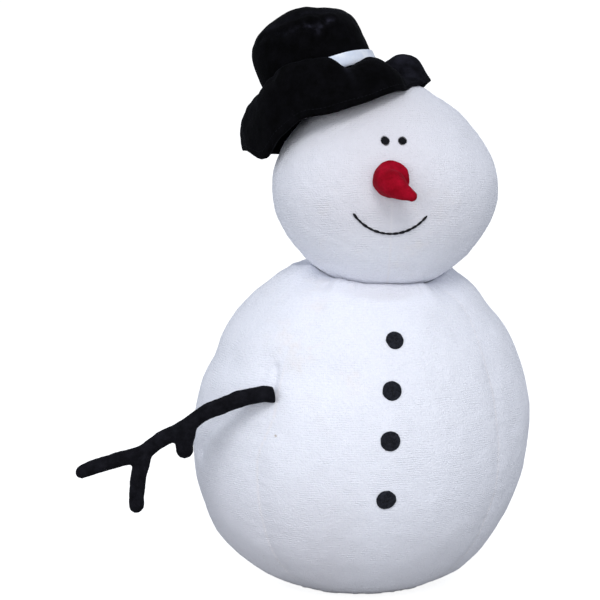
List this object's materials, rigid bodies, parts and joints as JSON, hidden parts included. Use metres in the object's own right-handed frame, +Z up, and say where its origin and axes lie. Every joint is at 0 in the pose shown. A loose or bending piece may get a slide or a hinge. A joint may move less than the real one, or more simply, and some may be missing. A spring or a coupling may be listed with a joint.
{
  "type": "stuffed cloth snowman",
  "caption": "Stuffed plush snowman standing on its own base, with a floppy velvet hat, a drooping nose, an embroidered face and a twig-shaped arm; seasonal decoration or soft toy.",
  "frame": {"origin": "middle of the flat base that the snowman stands on", "axes": "+Z up through the head; -Y is the side the buttons are on; -X is the side the arm is on"},
  "size_m": [0.3468, 0.239, 0.4331],
  "materials": {
    "white_plush": "short white knitted plush pile, matt with a soft sheen",
    "black_velvet": "crushed black velvet with a soft sheen on its folds",
    "black_velour": "dull black velour over stuffing",
    "black_felt": "dull black felt, slightly mottled",
    "black_thread": "black embroidery thread",
    "red_velour": "deep red velour with a short pile",
    "satin_ribbon": "pale blue-white satin ribbon, shiny"
  },
  "bodies": {
    "root": {"body": "white_plush", "head": "white_plush", "hat_crown": "black_velvet", "hat_brim": "black_velvet", "hat_band": "satin_ribbon", "nose": "red_velour", "eye_left": "black_thread", "eye_right": "black_thread", "mouth": "black_thread", "button_top": "black_felt", "button_upper": "black_felt", "button_lower": "black_felt", "button_bottom": "black_felt", "arm": "black_velour"}
  },
  "joints": []
}
